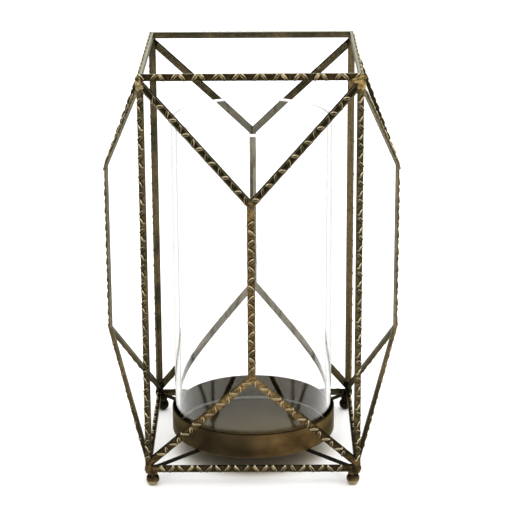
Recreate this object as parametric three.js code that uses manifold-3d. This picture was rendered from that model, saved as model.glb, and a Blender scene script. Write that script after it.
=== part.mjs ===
// Geometric candle lantern: a welded cage of hammered flat bar, a round dish and a lift-out glass.
// Millimetres, +Z up. The origin is on the floor, under the middle of the dish; the front faces -Y.

import * as THREE from 'three';
import { mergeVertices } from 'three/addons/utils/BufferGeometryUtils.js';
import Module from 'manifold-3d';

const wasm = await Module();
wasm.setup();

// ---- Driving dimensions ----------------------------------------------------------------------

const GAP = 0.3;                 // clearance left at every welded or resting joint

// Cage: four posts on a square, a ring of rails at the top and another at the bottom.
const POST_OFFSET = 98;          // post centre from the axis, in X and in Y
const TOP_RAIL_Z = 393;          // height of the top ring's centre line
const BOTTOM_RAIL_Z = 17.4;
const CAGE_BAR = { width: 6.2, thickness: 3.0 };
const POST_FOOT_Z = 12.7;        // lower end of a post, just above the ball foot

// Trusses: on each side two nodes stand out from the square, level with the posts' circle.
const NODE_RADIUS = POST_OFFSET * Math.SQRT2;
const UPPER_NODE_Z = 286.7;
const LOWER_NODE_Z = 123.5;
const ARM_DROP = 5.4;            // arms reach the post this far inside the rail's centre line
const TRUSS_BAR = { width: 7.0, thickness: 3.2 };
const UPRIGHT_SETBACK = 3;       // an upright stops this far short of the arms' meeting point

// Brace: two crossed rods under the dish, from corner to corner.
const ROD_RADIUS = 1.6;
const ROD_Z = 17.0;

// Ball feet under the corners of the bottom ring, just inside the posts.
const FOOT_OFFSET = 94.6;        // foot centre from the axis, in X and in Y
const BALL_RADIUS = 6.2;
const BALL_Z = 6.0;              // below the radius, so that the ball has a small flat to stand on
const FOOT_NECK_RADIUS = 2.6;

// Dish: a straight-walled pan of sheet.
const DISH_RADIUS = 79.6;
const DISH_HEIGHT = 25.4;
const DISH_SHEET = 1.3;
const DISH_CORNER_RADIUS = 2.8;

// Glass: an open-ended cylinder that stands on the dish's floor.
const GLASS_RADIUS = 76.5;
const GLASS_WALL = 3.3;
const GLASS_RIM_Z = 335.4;

const ROUND_SEGMENTS = 96;       // round the dish and the glass
const BALL_SEGMENTS = 28;
const ROD_SEGMENTS = 16;
const ARC_DIVISIONS = 3;         // half the steps along each arc of a turned profile

// Heights and radii worked out from those.
const TOP_RAIL_UNDERSIDE = TOP_RAIL_Z - CAGE_BAR.width / 2;
const DISH_BASE_Z = ROD_Z + ROD_RADIUS + GAP;
const DISH_FLOOR_Z = DISH_BASE_Z + DISH_SHEET;
const ROD_END_RADIUS = NODE_RADIUS - CAGE_BAR.thickness / 2 - GAP;

// ---- Materials -------------------------------------------------------------------------------

const bronze = new THREE.MeshStandardMaterial({ color: 0x4c3e28, roughness: 0.48, metalness: 0.85 });
const rodBronze = new THREE.MeshStandardMaterial({ color: 0x2b2820, roughness: 0.55, metalness: 0.8 });
const dishBronze = new THREE.MeshStandardMaterial({ color: 0x5a452c, roughness: 0.42, metalness: 0.85 });
const clearGlass = new THREE.MeshStandardMaterial({
  color: 0xf3f7f6,
  roughness: 0.03,
  metalness: 0,
  transparent: true,
  opacity: 0.25,
});

// ---- Shape helpers ---------------------------------------------------------------------------

/** A closed geometry as a manifold solid. */
function solidFrom(geometry) {
  const positionsOnly = geometry.clone();
  positionsOnly.deleteAttribute('normal');
  positionsOnly.deleteAttribute('uv');
  const merged = mergeVertices(positionsOnly, 1e-4);
  return new wasm.Manifold(new wasm.Mesh({
    numProp: 3,
    vertProperties: merged.attributes.position.array,
    triVerts: new Uint32Array(merged.index.array),
  }));
}

/** A manifold solid as a geometry. */
function geometryFrom(solid) {
  const mesh = solid.getMesh();
  const geometry = new THREE.BufferGeometry();
  geometry.setAttribute('position', new THREE.BufferAttribute(mesh.vertProperties, 3));
  geometry.setIndex(new THREE.BufferAttribute(mesh.triVerts, 1));
  geometry.computeVertexNormals();
  return geometry;
}

/** The geometry with the cutters taken out of it. Slivers that the cuts leave behind are dropped. */
function cutBy(geometry, cutters) {
  const rest = cutters.reduce((body, cutter) => body.subtract(solidFrom(cutter)), solidFrom(geometry));
  const pieces = rest.decompose().sort((a, b) => b.volume() - a.volume());
  return geometryFrom(pieces[0]);
}

/** A centred rectangle as a closed outline. */
function rectangle(width, height) {
  return new THREE.Shape([
    new THREE.Vector2(-width / 2, -height / 2),
    new THREE.Vector2(width / 2, -height / 2),
    new THREE.Vector2(width / 2, height / 2),
    new THREE.Vector2(-width / 2, height / 2),
  ]);
}

/**
 * A straight flat bar between two points. Its wide face looks along `outward`.
 * `grow` swells it on all sides, which makes the cutter that leaves a neighbour its clearance.
 */
function flatBar(start, end, section, outward, grow = 0) {
  const along = end.clone().sub(start);
  const length = along.length() + 2 * grow;
  along.normalize();
  const across = outward.clone().cross(along).normalize();
  const facing = along.clone().cross(across);
  const outline = rectangle(section.width + 2 * grow, section.thickness + 2 * grow);
  const geometry = new THREE.ExtrudeGeometry(outline, { depth: length, bevelEnabled: false });
  geometry.translate(0, 0, -grow);
  const placement = new THREE.Matrix4().makeBasis(across, facing, along).setPosition(start);
  return geometry.applyMatrix4(placement);
}

/** A straight rod of the brace between two points. */
function roundRod(start, end) {
  const along = end.clone().sub(start);
  const geometry = new THREE.CylinderGeometry(ROD_RADIUS, ROD_RADIUS, along.length(), ROD_SEGMENTS);
  const turn = new THREE.Quaternion().setFromUnitVectors(
    new THREE.Vector3(0, 1, 0),
    along.clone().normalize(),
  );
  geometry.applyQuaternion(turn);
  const middle = start.clone().add(end).multiplyScalar(0.5);
  return geometry.translate(middle.x, middle.y, middle.z);
}

/** A profile of (radius, height) points turned about the Z axis. */
function turned(path, segments) {
  const geometry = new THREE.LatheGeometry(path.getPoints(ARC_DIVISIONS), segments);
  return geometry.rotateX(Math.PI / 2);
}

/** A block given by its lowest and highest corners. */
function block(low, high) {
  const size = high.clone().sub(low);
  const middle = high.clone().add(low).multiplyScalar(0.5);
  return new THREE.BoxGeometry(size.x, size.y, size.z).translate(middle.x, middle.y, middle.z);
}

const point = (x, y, z) => new THREE.Vector3(x, y, z);

function named(name, geometry, material) {
  const mesh = new THREE.Mesh(geometry, material);
  mesh.name = name;
  return mesh;
}

// ---- Cage pieces, drawn for the front side and its right-hand corner -------------------------

/** A corner post, turned 45 degrees so that its wide face looks out along the diagonal. */
function post() {
  const lower = point(POST_OFFSET, -POST_OFFSET, POST_FOOT_Z);
  const upper = point(POST_OFFSET, -POST_OFFSET, TOP_RAIL_UNDERSIDE - GAP);
  return flatBar(lower, upper, CAGE_BAR, point(1, -1, 0));
}

/** A front rail, its wide face upright. `end` is the plan of its right-hand end, from inside to outside. */
function rail(centreZ, end) {
  const mirrored = end.map((corner) => new THREE.Vector2(-corner.x, corner.y)).reverse();
  const plan = new THREE.Shape([...end, ...mirrored].reverse());
  const geometry = new THREE.ExtrudeGeometry(plan, { depth: CAGE_BAR.width, bevelEnabled: false });
  return geometry.translate(0, 0, centreZ - CAGE_BAR.width / 2);
}

const RAIL_INNER = POST_OFFSET - CAGE_BAR.thickness / 2;
const RAIL_OUTER = POST_OFFSET + CAGE_BAR.thickness / 2;

/** The top rails are mitred together over the ends of the posts. */
function topRail() {
  const mitreGap = GAP * Math.SQRT1_2;
  return rail(TOP_RAIL_Z, [
    new THREE.Vector2(RAIL_INNER - mitreGap, -RAIL_INNER),
    new THREE.Vector2(RAIL_OUTER - mitreGap, -RAIL_OUTER),
  ]);
}

/** A bottom rail ends in a point: one cut lies along the rod, the other along the back of the post. */
function bottomRail() {
  const besideRod = (ROD_RADIUS + GAP) * Math.SQRT2;
  const behindPost = ROD_END_RADIUS * Math.SQRT2;
  return rail(BOTTOM_RAIL_Z, [
    new THREE.Vector2(RAIL_INNER - besideRod, -RAIL_INNER),
    new THREE.Vector2((behindPost - besideRod) / 2, -(behindPost + besideRod) / 2),
    new THREE.Vector2(behindPost - RAIL_OUTER, -RAIL_OUTER),
  ]);
}

/** The space that a rail and its clearance take, as a plain bar that runs past both corners. */
function railSpace(centreZ) {
  const reach = POST_OFFSET + CAGE_BAR.thickness;
  const start = point(-reach, -POST_OFFSET, centreZ);
  const end = point(reach, -POST_OFFSET, centreZ);
  return flatBar(start, end, CAGE_BAR, point(0, -1, 0), GAP);
}

// ---- Truss pieces, drawn for the front side ---------------------------------------------------

const upperNode = point(0, -NODE_RADIUS, UPPER_NODE_Z);
const lowerNode = point(0, -NODE_RADIUS, LOWER_NODE_Z);

/** The upright between the two nodes. */
function upright() {
  const setback = point(0, 0, UPRIGHT_SETBACK);
  const start = lowerNode.clone().add(setback);
  const end = upperNode.clone().sub(setback);
  return flatBar(start, end, TRUSS_BAR, point(0, -1, 0));
}

/**
 * An arm from a node to a post. `side` is 1 to the right and -1 to the left.
 * The two arms of a node lie in one plane, and their wide faces lie in it too.
 */
function arm(node, postZ, side) {
  const end = point(side * POST_OFFSET, -POST_OFFSET, postZ);
  const mirrored = point(-side * POST_OFFSET, -POST_OFFSET, postZ);
  const planeNormal = end.clone().sub(node).cross(mirrored.sub(node));
  if (planeNormal.y > 0) planeNormal.negate();
  const overrun = end.clone().sub(node).setLength(TRUSS_BAR.width);
  const bar = flatBar(node.clone().sub(overrun), end.clone().add(overrun), TRUSS_BAR, planeNormal);
  return cutBy(bar, armNeighbours(side));
}

/** What an arm has to clear: its twin, the upright, the rails, and everything from the post's edge on. */
function armNeighbours(side) {
  const far = 2 * NODE_RADIUS;
  const halfUpright = TRUSS_BAR.width / 2 + GAP;
  const halfPost = CAGE_BAR.width / 2 + GAP;
  const beyondMitre = block(point(-far, -far, -far), point(GAP / 2, far, 2 * far));
  if (side < 0) beyondMitre.rotateZ(Math.PI);
  const uprightSpace = block(
    point(-halfUpright, -far, LOWER_NODE_Z + UPRIGHT_SETBACK - GAP),
    point(halfUpright, far, UPPER_NODE_Z - UPRIGHT_SETBACK + GAP),
  );
  const beyondPostEdge = block(point(-halfPost, -far, -far), point(far, far, 2 * far))
    .rotateZ(Math.PI / 2 - side * Math.PI / 4)
    .translate(side * POST_OFFSET, -POST_OFFSET, 0);
  return [beyondMitre, uprightSpace, beyondPostEdge, railSpace(TOP_RAIL_Z), railSpace(BOTTOM_RAIL_Z)];
}

// ---- Feet, brace, dish and glass --------------------------------------------------------------

/** A ball with a small flat underneath and a neck that reaches up to the bottom ring's corner. */
function foot() {
  const flatAngle = -Math.asin(BALL_Z / BALL_RADIUS);
  const neckAngle = Math.acos(FOOT_NECK_RADIUS / BALL_RADIUS);
  const neckTop = BOTTOM_RAIL_Z - CAGE_BAR.width / 2 - GAP;
  const profile = new THREE.Path();
  profile.moveTo(0, 0);
  profile.lineTo(BALL_RADIUS * Math.cos(flatAngle), 0);
  profile.absarc(0, BALL_Z, BALL_RADIUS, flatAngle, neckAngle, false);
  profile.lineTo(FOOT_NECK_RADIUS, neckTop);
  profile.lineTo(0, neckTop);
  const geometry = new THREE.LatheGeometry(profile.getPoints(2 * ARC_DIVISIONS), BALL_SEGMENTS);
  return geometry.rotateX(Math.PI / 2).translate(FOOT_OFFSET, -FOOT_OFFSET, 0);
}

/** The long rod of the brace, and the two halves of the rod that crosses it. */
function bracePieces() {
  const reach = ROD_END_RADIUS * Math.SQRT1_2;
  const meeting = (ROD_RADIUS + GAP) * Math.SQRT1_2;
  const half = (side) => roundRod(
    point(side * meeting, side * meeting, ROD_Z),
    point(side * reach, side * reach, ROD_Z),
  );
  return [
    named('brace_rod_long', roundRod(point(-reach, reach, ROD_Z), point(reach, -reach, ROD_Z)), rodBronze),
    named('brace_rod_back_right', half(1), rodBronze),
    named('brace_rod_front_left', half(-1), rodBronze),
  ];
}

function dish() {
  const rim = DISH_BASE_Z + DISH_HEIGHT - DISH_SHEET / 2;
  const corner = DISH_RADIUS - DISH_CORNER_RADIUS;
  const cornerZ = DISH_BASE_Z + DISH_CORNER_RADIUS;
  const innerCorner = DISH_CORNER_RADIUS - DISH_SHEET;
  const profile = new THREE.Path();
  profile.moveTo(0, DISH_BASE_Z);
  profile.lineTo(corner, DISH_BASE_Z);
  profile.absarc(corner, cornerZ, DISH_CORNER_RADIUS, -Math.PI / 2, 0, false);
  profile.absarc(DISH_RADIUS - DISH_SHEET / 2, rim, DISH_SHEET / 2, 0, Math.PI, false);
  profile.absarc(corner, cornerZ, innerCorner, 0, -Math.PI / 2, true);
  profile.lineTo(0, DISH_FLOOR_Z);
  return turned(profile, ROUND_SEGMENTS);
}

function glass() {
  const inner = GLASS_RADIUS - GLASS_WALL;
  const rimRadius = GLASS_WALL / 2;
  const baseZ = DISH_FLOOR_Z + GAP;
  const profile = new THREE.Path();
  profile.moveTo(inner, baseZ);
  profile.lineTo(GLASS_RADIUS, baseZ);
  profile.absarc(inner + rimRadius, GLASS_RIM_Z - rimRadius, rimRadius, 0, Math.PI, false);
  profile.closePath();
  return turned(profile, ROUND_SEGMENTS);
}

// ---- Assembly ---------------------------------------------------------------------------------

const topArmZ = TOP_RAIL_Z - ARM_DROP;
const bottomArmZ = BOTTOM_RAIL_Z + ARM_DROP;

// One quarter of the cage. Each is drawn at the front and turned about Z to its own side.
const quarterPieces = [
  { name: (side) => `top_rail_${side}`, geometry: topRail() },
  { name: (side) => `bottom_rail_${side}`, geometry: bottomRail() },
  { name: (side) => `${side}_upright`, geometry: upright() },
  { name: (side) => `${side}_upper_arm_left`, geometry: arm(upperNode, topArmZ, -1) },
  { name: (side) => `${side}_upper_arm_right`, geometry: arm(upperNode, topArmZ, 1) },
  { name: (side) => `${side}_lower_arm_left`, geometry: arm(lowerNode, bottomArmZ, -1) },
  { name: (side) => `${side}_lower_arm_right`, geometry: arm(lowerNode, bottomArmZ, 1) },
  { name: (side, corner) => `post_${corner}`, geometry: post() },
  { name: (side, corner) => `foot_${corner}`, geometry: foot() },
];

// Each side with the corner at its right-hand end, seen from outside, going round from the front.
const quarters = [
  ['front', 'front_right'],
  ['right', 'back_right'],
  ['back', 'back_left'],
  ['left', 'front_left'],
];

const lantern = new THREE.Group();

quarters.forEach(([side, corner], turns) => {
  const quarter = new THREE.Group();
  quarter.rotation.z = turns * Math.PI / 2;
  for (const piece of quarterPieces) {
    quarter.add(named(piece.name(side, corner), piece.geometry, bronze));
  }
  lantern.add(quarter);
});

lantern.add(...bracePieces());
lantern.add(named('candle_dish', dish(), dishBronze));
lantern.add(named('glass_cylinder', glass(), clearGlass));

export default lantern;
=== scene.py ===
"""Looks for the geometric candle lantern: hammered bronze cage, sheet dish and lift-out glass.

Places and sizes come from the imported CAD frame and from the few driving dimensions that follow. All
lengths are in metres.
"""

import math
import random

import bmesh
import bpy
import numpy as np
from mathutils import Matrix, Vector, noise


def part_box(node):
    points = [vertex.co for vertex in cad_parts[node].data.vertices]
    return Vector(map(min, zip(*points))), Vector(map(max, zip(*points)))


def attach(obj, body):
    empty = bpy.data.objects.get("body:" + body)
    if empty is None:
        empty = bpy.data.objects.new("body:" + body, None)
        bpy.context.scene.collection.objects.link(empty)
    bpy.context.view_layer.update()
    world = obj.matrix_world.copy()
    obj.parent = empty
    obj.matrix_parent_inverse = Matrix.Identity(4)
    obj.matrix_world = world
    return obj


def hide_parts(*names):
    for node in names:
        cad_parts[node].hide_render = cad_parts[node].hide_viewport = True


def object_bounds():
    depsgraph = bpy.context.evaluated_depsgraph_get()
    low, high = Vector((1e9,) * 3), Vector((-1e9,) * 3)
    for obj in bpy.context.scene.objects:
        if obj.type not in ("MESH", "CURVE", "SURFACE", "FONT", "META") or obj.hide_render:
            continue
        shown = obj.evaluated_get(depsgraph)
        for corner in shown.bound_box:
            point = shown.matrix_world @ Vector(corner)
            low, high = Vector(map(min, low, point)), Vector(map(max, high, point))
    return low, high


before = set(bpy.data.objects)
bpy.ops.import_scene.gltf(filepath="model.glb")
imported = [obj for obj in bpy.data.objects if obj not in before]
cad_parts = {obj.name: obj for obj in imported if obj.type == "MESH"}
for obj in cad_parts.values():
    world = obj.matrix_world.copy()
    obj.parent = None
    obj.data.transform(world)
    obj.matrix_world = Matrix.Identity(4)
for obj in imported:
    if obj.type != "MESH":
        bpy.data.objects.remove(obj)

CAD_LOW, CAD_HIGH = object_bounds()
MM = 0.001

# ---- Places read from the frame ----------------------------------------------------------------


def box_centre(node):
    """Middle of a CAD node's box."""
    low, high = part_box(node)
    return (low + high) / 2


def box_size(node):
    """Lengths of a CAD node's box along X, Y and Z."""
    low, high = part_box(node)
    return high - low


POST_OFFSET = box_centre("post_front_right").x
TOP_RAIL_Z = box_centre("top_rail_front").z
BOTTOM_RAIL_Z = box_centre("bottom_rail_front").z
CAGE_WIDTH = box_size("top_rail_front").z
CAGE_THICKNESS = box_size("top_rail_front").y
NODE_RADIUS = -box_centre("front_upright").y
TRUSS_WIDTH = box_size("front_upright").x
TRUSS_THICKNESS = box_size("front_upright").y
ROD_Z = box_centre("brace_rod_long").z
ROD_RADIUS = box_size("brace_rod_long").z / 2
FOOT_OFFSET = box_centre("foot_front_right").x
BALL_RADIUS = box_size("foot_front_right").x / 2

# Driving dimensions of the CAD part that its boxes don't show.
UPRIGHT_SETBACK = 3.0 * MM       # the arms meet this far beyond the upright's ends
ARM_DROP = 5.4 * MM              # the arms reach the post this far inside the rail
BALL_Z = 6.0 * MM                # a little below the radius, so that the ball has a flat to stand on
FOOT_NECK_RADIUS = 2.6 * MM
DISH_SHEET = 1.3 * MM
DISH_CORNER_RADIUS = 2.8 * MM
GLASS_WALL = 3.3 * MM

UPPER_NODE = Vector((0, -NODE_RADIUS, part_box("front_upright")[1].z + UPRIGHT_SETBACK))
LOWER_NODE = Vector((0, -NODE_RADIUS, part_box("front_upright")[0].z - UPRIGHT_SETBACK))

SIDES = ("front", "right", "back", "left")
CORNERS = ("front_right", "back_right", "back_left", "front_left")


# ---- Camera ------------------------------------------------------------------------------------

CAMERA_PLACE = (0.0152, -1.7803, 0.7575)
SENSOR_WIDTH = 36.0              # millimetres, as is the lens
LENS = 136.36
PITCH_DOWN = math.radians(17.494)
HEADING_LEFT = math.radians(0.375)
ROLL = math.radians(-0.34)


def add_camera():
    """Stands at the photograph's place: in front, raised, looking down at the lantern."""
    camera = bpy.data.objects.new("camera", bpy.data.cameras.new("camera"))
    bpy.context.scene.collection.objects.link(camera)
    camera.data.sensor_width = SENSOR_WIDTH
    camera.data.lens = LENS
    camera.data.clip_end = 100.0
    turn = (
        Matrix.Rotation(HEADING_LEFT, 4, "Z")
        @ Matrix.Rotation(math.pi / 2 - PITCH_DOWN, 4, "X")
        @ Matrix.Rotation(ROLL, 4, "Z")
    )
    camera.matrix_world = Matrix.Translation(CAMERA_PLACE) @ turn
    bpy.context.scene.camera = camera


# ---- Node helpers ------------------------------------------------------------------------------

NOISE_ROUGHNESS = 0.55


class Nodes:
    """A node tree, built by short calls."""

    def __init__(self, tree):
        self.tree = tree

    def node(self, kind, **settings):
        """A new node with its properties set."""
        made = self.tree.nodes.new(kind)
        for key, value in settings.items():
            setattr(made, key, value)
        return made

    def feed(self, socket, value):
        """Puts a link, a colour or a plain number on a socket."""
        if isinstance(value, bpy.types.NodeSocket):
            self.tree.links.new(value, socket)
        elif isinstance(value, tuple):
            socket.default_value = (*value, 1.0)
        else:
            socket.default_value = value

    def ramp(self, value, low, high, to_low=0.0, to_high=1.0):
        """Maps low..high smoothly onto to_low..to_high."""
        made = self.node("ShaderNodeMapRange", interpolation_type="SMOOTHSTEP")
        made.inputs["From Min"].default_value = low
        made.inputs["From Max"].default_value = high
        made.inputs["To Min"].default_value = to_low
        made.inputs["To Max"].default_value = to_high
        self.feed(made.inputs["Value"], value)
        return made.outputs["Result"]

    def math(self, operation, a, b):
        """Arithmetic on two values, each a number or a link."""
        made = self.node("ShaderNodeMath", operation=operation)
        self.feed(made.inputs[0], a)
        self.feed(made.inputs[1], b)
        return made.outputs[0]


class Shader(Nodes):
    """A material's nodes round its own shader."""

    def __init__(self, name):
        self.material = bpy.data.materials.new(name)
        self.material.use_nodes = True
        super().__init__(self.material.node_tree)
        self.principled = self.tree.nodes["Principled BSDF"]

    def set(self, socket, value):
        """A link, a colour or a plain number on one of the shader's own sockets."""
        self.feed(self.principled.inputs[socket], value)

    def coordinates(self):
        """Places in the object's own frame, in metres."""
        return self.node("ShaderNodeTexCoord").outputs["Object"]

    def noise(self, scale, detail, stretch=(1, 1, 1)):
        """Noise with features about 1/scale metres across; stretch scales each axis."""
        mapping = self.node("ShaderNodeMapping")
        mapping.inputs["Scale"].default_value = stretch
        self.feed(mapping.inputs["Vector"], self.coordinates())
        made = self.node("ShaderNodeTexNoise")
        made.inputs["Scale"].default_value = scale
        made.inputs["Detail"].default_value = detail
        made.inputs["Roughness"].default_value = NOISE_ROUGHNESS
        self.feed(made.inputs["Vector"], mapping.outputs["Vector"])
        return made.outputs["Fac"]

    def attribute(self, name):
        """A value that the mesh carries at its points."""
        return self.node("ShaderNodeAttribute", attribute_name=name).outputs["Fac"]

    def mix(self, factor, a, b):
        """Mixes two colours, each a tuple or a link."""
        made = self.node("ShaderNodeMix", data_type="RGBA")
        self.feed(made.inputs["Factor"], factor)
        self.feed(made.inputs[6], a)
        self.feed(made.inputs[7], b)
        return made.outputs[2]

    def roughened(self, rub, grain, amount):
        """A rub value broken up by grain."""
        return self.math("ADD", rub, self.math("MULTIPLY", self.math("SUBTRACT", grain, 0.5), amount))

    def bump(self, height, distance, strength, under=None):
        """A normal bumped by height, on top of another bumped normal if there is one."""
        made = self.node("ShaderNodeBump")
        made.inputs["Distance"].default_value = distance
        made.inputs["Strength"].default_value = strength
        self.feed(made.inputs["Height"], height)
        if under is not None:
            self.feed(made.inputs["Normal"], under)
        return made.outputs["Normal"]


# ---- Materials ---------------------------------------------------------------------------------

# The near-black colour serves for dark patina and for painted shade, the grey steel colour for worn edges
# and for painted highlights, and the dull tint for reflections in patina and painted shade.
SOOT_AND_SHADE = (0.010, 0.008, 0.004)
OLIVE_STEEL = (0.048, 0.042, 0.023)
BROWN_STEEL = (0.115, 0.086, 0.044)
WARM_STEEL = (0.155, 0.112, 0.055)
FIELD_BROWN = (0.088, 0.056, 0.019)
HEAT_GOLD = (0.235, 0.150, 0.060)
HEAT_BROWN = (0.085, 0.052, 0.020)
BARE_STEEL_AND_HIGHLIGHT = (0.42, 0.435, 0.37)
WORN_BRASS = (0.74, 0.64, 0.41)
EDGE_TINT = (0.62, 0.60, 0.52)
SOOT_AND_SHADE_TINT = (0.27, 0.25, 0.15)


def hammered_bronze():
    """Antique bronze on struck bar: dark field, brass rubbed through on the nicks, olive edges and back.

    The rub attribute says how much brass shows, painted highlights on the nicks included, and struck
    how brown the hammered face is. The tone attribute is below 0 for dark patina and for painted shade,
    and above 0 for edges worn to steel and for painted highlights. The gold attribute is 1 where the
    heat of a weld has left the field golden brown, and brown is 1 on a bar whose back is painted warm
    brown instead of olive, a painted highlight from the light on the right.
    """
    s = Shader("hammered_bronze")
    patches = s.ramp(s.noise(38, 5), 0.36, 0.64)
    cloud = s.ramp(s.noise(380, 4), 0.36, 0.66)
    grain = s.noise(2600, 3)
    tone = s.attribute("tone")
    plain = s.mix(patches, OLIVE_STEEL, BROWN_STEEL)
    plain = s.mix(s.attribute("brown"), plain, WARM_STEEL)
    plain = s.mix(s.math("MULTIPLY", cloud, 0.3), plain, SOOT_AND_SHADE)
    field = s.mix(cloud, FIELD_BROWN, SOOT_AND_SHADE)
    field = s.mix(s.math("MULTIPLY", patches, 0.35), field, FIELD_BROWN)
    golden = s.mix(cloud, HEAT_GOLD, HEAT_BROWN)
    field = s.mix(s.attribute("gold"), field, golden)
    base = s.mix(s.attribute("struck"), plain, field)
    # Painted shade with the dark patina where the tone is below 0; painted highlight with the worn steel
    # where it is above 0. Reflections are dulled in the painted shade as well.
    soot_and_shade = s.ramp(tone, 0.0, -1.0)
    base = s.mix(soot_and_shade, base, SOOT_AND_SHADE)
    bare_and_highlight = s.math("MULTIPLY", s.ramp(tone, 0.0, 1.0), s.ramp(grain, 0.3, 0.55))
    base = s.mix(bare_and_highlight, base, BARE_STEEL_AND_HIGHLIGHT)
    # Brass where the rub is high; this rub also carries the painted highlights on the nicks.
    wear_and_highlight = s.ramp(s.roughened(s.attribute("rub"), grain, 0.5), 0.18, 1.0)
    s.set("Base Color", s.mix(wear_and_highlight, base, WORN_BRASS))
    s.set("Specular Tint", s.mix(soot_and_shade, EDGE_TINT, SOOT_AND_SHADE_TINT))
    s.set("Metallic", 0.92)
    dull = s.ramp(cloud, 0.0, 1.0, 0.34, 0.48)
    s.set("Roughness", s.math("SUBTRACT", dull, s.math("MULTIPLY", wear_and_highlight, 0.06)))
    fine = s.bump(grain, 0.05 * MM, 0.7)
    s.set("Normal", s.bump(s.noise(520, 3), 0.16 * MM, 0.6, under=fine))
    return s.material


WELD_BLACK = (0.008, 0.007, 0.004)
WELD_DARK = (0.020, 0.014, 0.007)
WELD_BROWN = (0.098, 0.062, 0.028)
WELD_TINT = (0.45, 0.42, 0.33)
YELLOW_BRASS = (0.38, 0.27, 0.100)
PALE_BRASS = (0.47, 0.41, 0.25)


def weld_bronze(name, roughness):
    """Bronze over weld beads and cast feet: black where rub is below 0, brass where it is high.

    Low rub is the welds' dark patina and, at the back corners and on the feet, painted shade; high rub
    is polish on the welds and a painted highlight on the feet's lower part. The pale attribute turns
    the brass from yellow to pale.
    """
    s = Shader(name)
    patches = s.ramp(s.noise(140, 4), 0.36, 0.62)
    grain = s.noise(1900, 3)
    rub = s.attribute("rub")
    base = s.mix(patches, WELD_DARK, WELD_BROWN)
    base = s.mix(s.ramp(rub, 0.1, -0.5), base, WELD_BLACK)
    # Brass where the rub is high: polish on the welds, a painted highlight on the feet's lower part.
    wear_and_highlight = s.ramp(s.roughened(rub, grain, 0.7), 0.2, 1.05)
    brass = s.mix(s.attribute("pale"), YELLOW_BRASS, PALE_BRASS)
    s.set("Base Color", s.mix(wear_and_highlight, base, brass))
    s.set("Metallic", 0.92)
    s.set("Specular Tint", WELD_TINT)
    s.set("Roughness", s.ramp(grain, 0.3, 0.7, *roughness))
    s.set("Normal", s.bump(s.noise(900, 3), 0.18 * MM, 0.7))
    return s.material


ROD_BLACK = (0.008, 0.007, 0.005)
ROD_BROWN = (0.05, 0.04, 0.024)
ROD_TINT = (1.0, 0.93, 0.70)


def rod_bronze():
    """Plain round rod, nearly black, with a little bronze rubbed through."""
    s = Shader("rod_bronze")
    rub = s.ramp(s.noise(900, 4), 0.52, 0.72)
    s.set("Base Color", s.mix(rub, ROD_BLACK, ROD_BROWN))
    s.set("Metallic", 0.6)
    s.set("Specular IOR Level", 0.2)
    s.set("Specular Tint", ROD_TINT)
    s.set("Roughness", s.ramp(s.noise(300, 3), 0.3, 0.7, 0.55, 0.72))
    s.set("Normal", s.bump(s.noise(1500, 3), 0.08 * MM, 0.7))
    return s.material


DISH_SOOT = (0.012, 0.008, 0.004)
DISH_DARK = ((0.036, 0.025, 0.012), (0.046, 0.032, 0.016))
# This pair is the painted highlight on the +X half; the grey below is a painted reflection seen edge-on, and
# the last brown is the painted highlight along the foot.
DISH_LIGHT = ((0.088, 0.053, 0.020), (0.140, 0.088, 0.034))
DISH_GREY = (0.056, 0.045, 0.028)
DISH_FOOT_HIGHLIGHT = (0.24, 0.165, 0.08)
DISH_DARK_TINT = (0.55, 0.52, 0.43)
DISH_LIGHT_TINT = (0.62, 0.57, 0.44)


def dish_bronze():
    """Spun sheet: satin brown bronze with fine turning rings, and a painted grey reflection where it is
    seen edge-on.

    A highlight is painted on the +X half. The rub attribute is below 0 on the smoke-blackened rim, and
    above 0 on the painted highlight along the foot.
    """
    s = Shader("dish_bronze")
    spots = s.ramp(s.noise(60, 5), 0.35, 0.65)
    speck = s.noise(3000, 2)
    parts = s.node("ShaderNodeSeparateXYZ")
    s.feed(parts.inputs[0], s.coordinates())
    # Painted highlight: lighter bronze and tint towards +X.
    uneven = s.math("MULTIPLY", s.noise(16, 3), 0.05)
    painted_highlight_side = s.ramp(s.math("ADD", parts.outputs["X"], uneven), 0.005, 0.065)
    base = s.mix(painted_highlight_side, s.mix(spots, *DISH_DARK), s.mix(spots, *DISH_LIGHT))
    # Painted reflection: grey where the wall is seen edge-on.
    facing = s.node("ShaderNodeLayerWeight")
    facing.inputs["Blend"].default_value = 0.5
    base = s.mix(s.ramp(facing.outputs["Facing"], 0.35, 0.75), base, DISH_GREY)
    # Rub is below 0 on the smoke-blackened rim and above 0 for the painted highlight along the foot.
    rub = s.attribute("rub")
    base = s.mix(s.ramp(rub, 0.0, -1.0), base, DISH_SOOT)
    s.set("Base Color", s.mix(s.ramp(rub, 0.1, 1.0), base, DISH_FOOT_HIGHLIGHT))
    s.set("Metallic", 0.95)
    s.set("Specular Tint", s.mix(painted_highlight_side, DISH_DARK_TINT, DISH_LIGHT_TINT))
    s.set("Roughness", s.ramp(speck, 0.3, 0.7, 0.32, 0.42))
    rings = s.node("ShaderNodeTexWave", wave_type="RINGS", rings_direction="Z", wave_profile="SIN")
    rings.inputs["Scale"].default_value = 260.0
    rings.inputs["Distortion"].default_value = 1.2
    rings.inputs["Detail"].default_value = 2.0
    s.feed(rings.inputs["Vector"], s.coordinates())
    fine = s.bump(speck, 0.02 * MM, 0.35)
    s.set("Normal", s.bump(rings.outputs["Fac"], 0.03 * MM, 0.5, under=fine))
    return s.material


GLASS_CLEAR = (0.995, 0.998, 0.996)
GLASS_EDGE_ON = (0.20, 0.225, 0.195)
GLASS_TINT = (1.0, 0.97, 0.84)


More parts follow.
